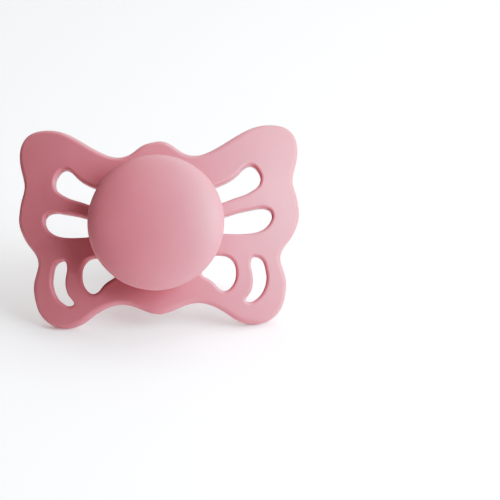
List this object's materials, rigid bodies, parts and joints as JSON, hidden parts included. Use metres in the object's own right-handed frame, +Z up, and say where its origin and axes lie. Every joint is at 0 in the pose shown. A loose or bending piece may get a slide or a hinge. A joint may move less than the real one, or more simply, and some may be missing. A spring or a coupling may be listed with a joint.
{
  "type": "pacifier",
  "caption": "Baby pacifier with a butterfly-shaped vented shield, a large round domed knob and a clear hollow silicone teat, leaning back on its teat.",
  "frame": {"origin": "on the table, at the bottom centre of the pacifier's bounding box as it stands leaning back on its two lower lobes and its teat", "axes": "+X across the wings to the right as seen from the front, +Y towards the back where the teat points, +Z up"},
  "size_m": [0.0546, 0.0405, 0.0337],
  "materials": {
    "shield_plastic": "matte dusty pink polypropylene",
    "knob_plastic": "matte dusty pink polypropylene",
    "plug_plastic": "matte dusty pink polypropylene",
    "silicone": "clear silicone with a faint haze"
  },
  "bodies": {
    "root": {"shield": "shield_plastic", "teat": "silicone", "teat_plug": "plug_plastic", "knob_base": "knob_plastic", "knob_cap": "knob_plastic"}
  },
  "joints": []
}
